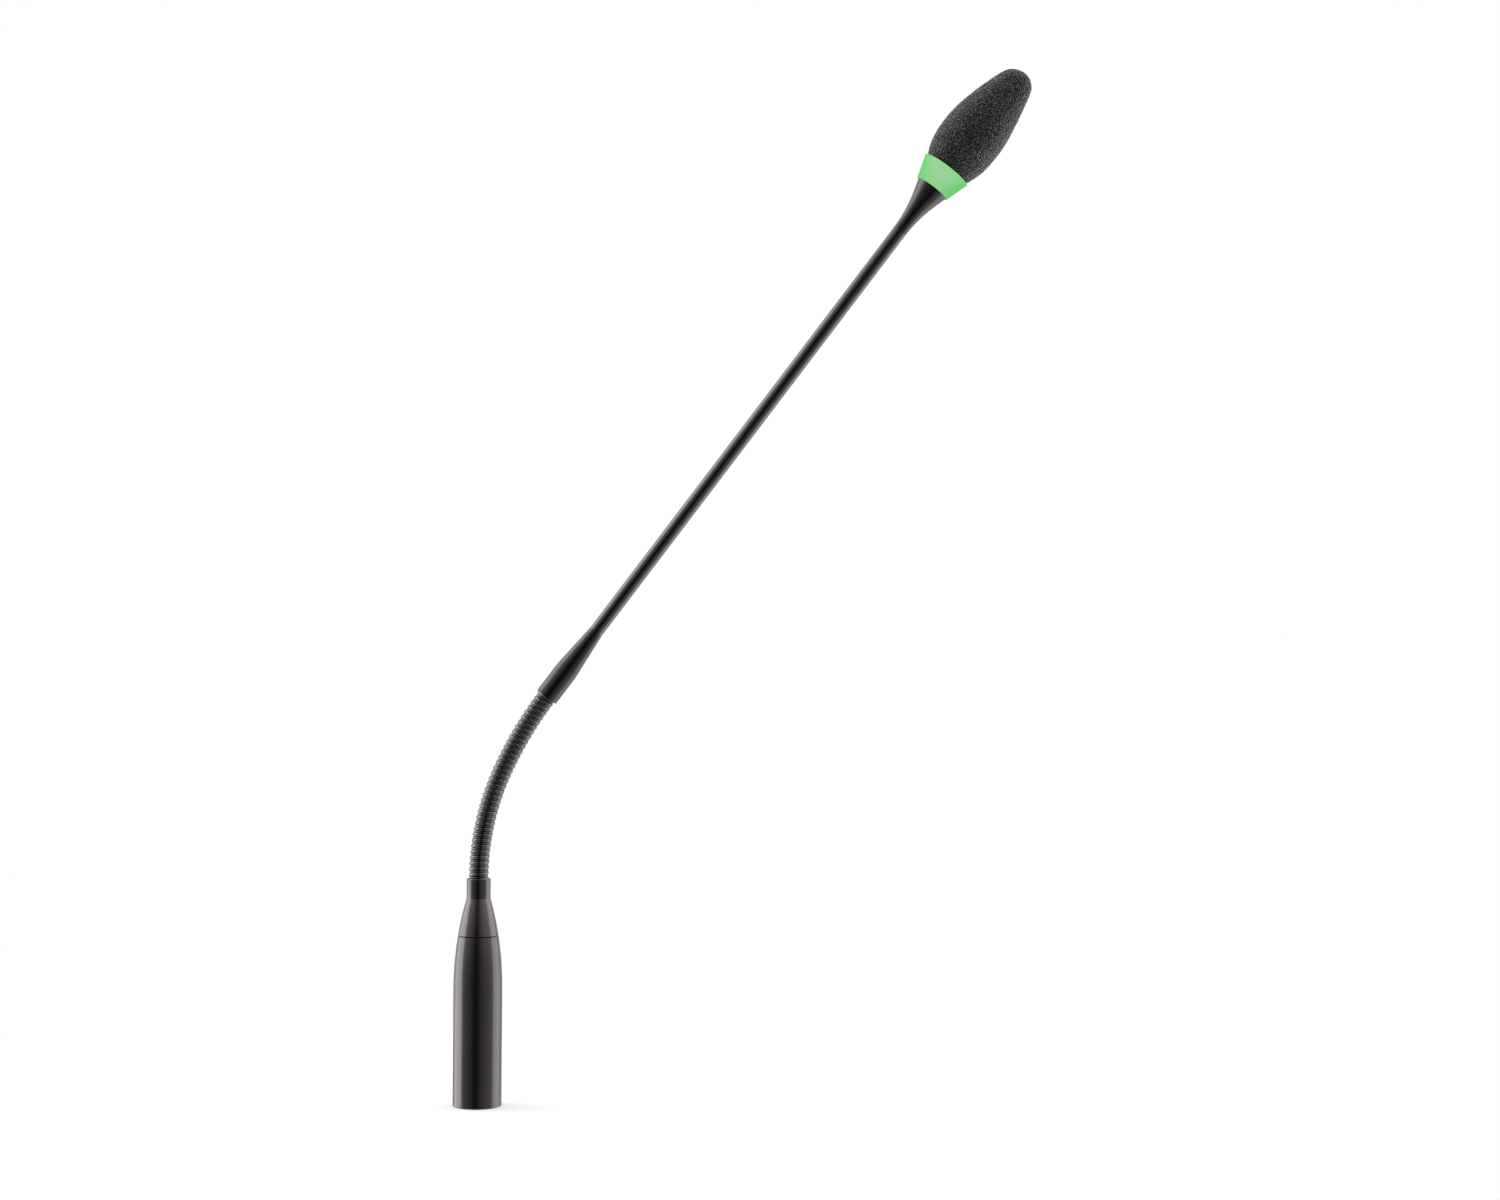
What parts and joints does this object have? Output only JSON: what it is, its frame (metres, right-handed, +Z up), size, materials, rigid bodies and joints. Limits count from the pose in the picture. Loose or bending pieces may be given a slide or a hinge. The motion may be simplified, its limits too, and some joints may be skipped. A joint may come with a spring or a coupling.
{
  "type": "gooseneck podium microphone",
  "caption": "Slim lectern microphone: barrel plug, short coiled bendable neck, long leaning stem, lit ring and foam windscreen.",
  "frame": {"origin": "centre of the plug shell's bottom rim, where the microphone enters its socket", "axes": "+Z up the plug barrel, +X the way the neck and stem lean, so the whole microphone lies in the XZ plane"},
  "size_m": [0.2221, 0.0248, 0.4038],
  "materials": {
    "black_satin_metal": "turned brass, blasted satin and blackened",
    "black_spring_steel": "blackened round spring wire",
    "black_insert": "moulded",
    "gold_contacts": "gold plated",
    "screw_steel": "blackened",
    "circuit_board": "solder mask",
    "chip_body": "moulded epoxy",
    "capacitor_can": "drawn can",
    "resistor_body": "ceramic chip",
    "tinned_wire": "tinned copper",
    "cable_jacket": "matte jacket",
    "ring_diffuser": "translucent moulding, lit green",
    "led_lens": "clear epoxy",
    "black_anodised": "black anodised",
    "boot_rubber": "moulded",
    "capsule_aluminium": "drawn can",
    "insulator_plastic": "moulded",
    "capsule_brass": "turned",
    "grille_steel": "perforated, black",
    "windscreen_foam": "open-cell foam"
  },
  "bodies": {
    "root": {"connector_shell": "black_satin_metal", "contact_insert": "black_insert", "contact_pins": "gold_contacts", "insert_screw": "screw_steel", "preamp_board": "circuit_board", "preamp_chip": "chip_body", "coupling_capacitors": "capacitor_can", "chip_resistors": "resistor_body", "board_leads": "tinned_wire", "neck_cone": "black_satin_metal", "neck_coil_foot": "black_spring_steel", "filler_wire": "black_spring_steel", "signal_cable_base": "cable_jacket", "signal_cable_neck": "cable_jacket"},
    "link_01": {"neck_link_01": "black_spring_steel"},
    "link_02": {"neck_link_02": "black_spring_steel"},
    "link_03": {"neck_link_03": "black_spring_steel"},
    "link_04": {"neck_link_04": "black_spring_steel"},
    "link_05": {"neck_link_05": "black_spring_steel"},
    "link_06": {"neck_link_06": "black_spring_steel"},
    "link_07": {"neck_link_07": "black_spring_steel"},
    "link_08": {"neck_link_08": "black_spring_steel"},
    "link_09": {"neck_link_09": "black_spring_steel"},
    "link_10": {"neck_link_10": "black_spring_steel"},
    "link_11": {"neck_link_11": "black_spring_steel"},
    "link_12": {"neck_link_12": "black_spring_steel"},
    "link_13": {"neck_link_13": "black_spring_steel"},
    "link_14": {"neck_link_14": "black_spring_steel"},
    "link_15": {"neck_link_15": "black_spring_steel"},
    "link_16": {"neck_link_16": "black_spring_steel"},
    "link_17": {"neck_link_17": "black_spring_steel"},
    "link_18": {"neck_link_18": "black_spring_steel"},
    "link_19": {"neck_link_19": "black_spring_steel"},
    "link_20": {"neck_link_20": "black_spring_steel"},
    "link_21": {"neck_link_21": "black_spring_steel"},
    "link_22": {"neck_link_22": "black_spring_steel"},
    "link_23": {"neck_link_23": "black_spring_steel"},
    "link_24": {"neck_link_24": "black_spring_steel"},
    "link_25": {"neck_link_25": "black_spring_steel"},
    "link_26": {"neck_link_26": "black_spring_steel"},
    "link_27": {"neck_link_27": "black_spring_steel"},
    "stem": {"neck_coil_top": "black_spring_steel", "stem_sleeve": "black_satin_metal", "stem_tube": "black_satin_metal", "signal_cable_stem": "cable_jacket", "head_flare": "black_satin_metal", "light_ring": "ring_diffuser", "led_board": "circuit_board", "ring_leds": "led_lens", "capsule_housing": "black_anodised", "capsule_boot": "boot_rubber", "capsule_can": "capsule_aluminium", "capsule_board": "circuit_board", "backplate_holder": "insulator_plastic", "backplate": "capsule_brass", "diaphragm": "capsule_brass", "front_grille": "grille_steel"},
    "windscreen": {"windscreen": "windscreen_foam"}
  },
  "joints": [
    {"name": "neck_bend_01", "type": "hinge", "parent": "root", "child": "link_01", "pos_m": [0.00001, 0, 0.08937], "axis": [0.001, 1, 0], "range_deg": [-9.07, 3.79], "deforming": ["filler_wire", "signal_cable_neck"]},
    {"name": "neck_sway_02", "type": "hinge", "parent": "link_01", "child": "link_02", "pos_m": [0.00008, 0, 0.09211], "axis": [0.9992, 0, -0.0403], "range_deg": [-6.43, 6.43]},
    {"name": "neck_bend_03", "type": "hinge", "parent": "link_02", "child": "link_03", "pos_m": [0.00023, 0, 0.09484], "axis": [0.001, 1, 0], "range_deg": [-9.07, 3.79]},
    {"name": "neck_sway_04", "type": "hinge", "parent": "link_03", "child": "link_04", "pos_m": [0.00045, 0, 0.09757], "axis": [0.9956, 0, -0.0939], "range_deg": [-6.43, 6.43]},
    {"name": "neck_bend_05", "type": "hinge", "parent": "link_04", "child": "link_05", "pos_m": [0.00074, 0, 0.1003], "axis": [0.001, 1, 0], "range_deg": [-9.07, 3.79]},
    {"name": "neck_sway_06", "type": "hinge", "parent": "link_05", "child": "link_06", "pos_m": [0.00111, 0, 0.10301], "axis": [0.9891, 0, -0.1472], "range_deg": [-6.43, 6.43]},
    {"name": "neck_bend_07", "type": "hinge", "parent": "link_06", "child": "link_07", "pos_m": [0.00155, 0, 0.10572], "axis": [0.001, 1, 0], "range_deg": [-9.07, 3.79]},
    {"name": "neck_sway_08", "type": "hinge", "parent": "link_07", "child": "link_08", "pos_m": [0.00206, 0, 0.10841], "axis": [0.9798, 0, -0.2001], "range_deg": [-6.43, 6.43]},
    {"name": "neck_bend_09", "type": "hinge", "parent": "link_08", "child": "link_09", "pos_m": [0.00265, 0, 0.11108], "axis": [0.001, 1, 0], "range_deg": [-9.07, 3.79]},
    {"name": "neck_sway_10", "type": "hinge", "parent": "link_09", "child": "link_10", "pos_m": [0.0033, 0, 0.11374], "axis": [0.9676, 0, -0.2525], "range_deg": [-6.43, 6.43]},
    {"name": "neck_bend_11", "type": "hinge", "parent": "link_10", "child": "link_11", "pos_m": [0.00403, 0, 0.11638], "axis": [0.001, 1, 0], "range_deg": [-9.07, 3.79]},
    {"name": "neck_sway_12", "type": "hinge", "parent": "link_11", "child": "link_12", "pos_m": [0.00483, 0, 0.119], "axis": [0.9527, 0, -0.3041], "range_deg": [-6.43, 6.43]},
    {"name": "neck_bend_13", "type": "hinge", "parent": "link_12", "child": "link_13", "pos_m": [0.0057, 0, 0.1216], "axis": [0.001, 1, 0], "range_deg": [-9.07, 3.79]},
    {"name": "neck_sway_14", "type": "hinge", "parent": "link_13", "child": "link_14", "pos_m": [0.00663, 0, 0.12417], "axis": [0.9349, 0, -0.3548], "range_deg": [-6.43, 6.43]},
    {"name": "neck_bend_15", "type": "hinge", "parent": "link_14", "child": "link_15", "pos_m": [0.00764, 0, 0.12672], "axis": [0.001, 1, 0], "range_deg": [-9.07, 3.79]},
    {"name": "neck_sway_16", "type": "hinge", "parent": "link_15", "child": "link_16", "pos_m": [0.00871, 0, 0.12924], "axis": [0.9145, 0, -0.4045], "range_deg": [-6.43, 6.43]},
    {"name": "neck_bend_17", "type": "hinge", "parent": "link_16", "child": "link_17", "pos_m": [0.00985, 0, 0.13173], "axis": [0.001, 1, 0], "range_deg": [-9.07, 3.79]},
    {"name": "neck_sway_18", "type": "hinge", "parent": "link_17", "child": "link_18", "pos_m": [0.01104, 0, 0.1342], "axis": [0.8977, 0, -0.4405], "range_deg": [-6.43, 6.43]},
    {"name": "neck_bend_19", "type": "hinge", "parent": "link_18", "child": "link_19", "pos_m": [0.01226, 0, 0.13665], "axis": [0.001, 1, 0], "range_deg": [-9.07, 3.79]},
    {"name": "neck_sway_20", "type": "hinge", "parent": "link_19", "child": "link_20", "pos_m": [0.01354, 0, 0.13908], "axis": [0.8812, 0, -0.4727], "range_deg": [-6.43, 6.43]},
    {"name": "neck_bend_21", "type": "hinge", "parent": "link_20", "child": "link_21", "pos_m": [0.01485, 0, 0.14148], "axis": [0.001, 1, 0], "range_deg": [-9.07, 3.79]},
    {"name": "neck_sway_22", "type": "hinge", "parent": "link_21", "child": "link_22", "pos_m": [0.01621, 0, 0.14386], "axis": [0.8636, 0, -0.5042], "range_deg": [-6.43, 6.43]},
    {"name": "neck_bend_23", "type": "hinge", "parent": "link_22", "child": "link_23", "pos_m": [0.01762, 0, 0.14621], "axis": [0.001, 1, 0], "range_deg": [-9.07, 3.79]},
    {"name": "neck_sway_24", "type": "hinge", "parent": "link_23", "child": "link_24", "pos_m": [0.01906, 0, 0.14854], "axis": [0.8448, 0, -0.535], "range_deg": [-6.43, 6.43]},
    {"name": "neck_bend_25", "type": "hinge", "parent": "link_24", "child": "link_25", "pos_m": [0.02055, 0, 0.15084], "axis": [0.001, 1, 0], "range_deg": [-9.07, 3.79]},
    {"name": "neck_sway_26", "type": "hinge", "parent": "link_25", "child": "link_26", "pos_m": [0.02207, 0, 0.15311], "axis": [0.825, 0, -0.5652], "range_deg": [-6.43, 6.43]},
    {"name": "neck_bend_27", "type": "hinge", "parent": "link_26", "child": "link_27", "pos_m": [0.02364, 0, 0.15536], "axis": [0.001, 1, 0], "range_deg": [-9.07, 3.79]},
    {"name": "neck_sway_28", "type": "hinge", "parent": "link_27", "child": "stem", "pos_m": [0.02525, 0, 0.15758], "axis": [0.804, 0, -0.5946], "range_deg": [-6.43, 6.43]},
    {"name": "windscreen_pull", "type": "slide", "parent": "stem", "child": "windscreen", "axis": [0.6018, 0, 0.7986], "range_m": [0, 0.05]}
  ]
}
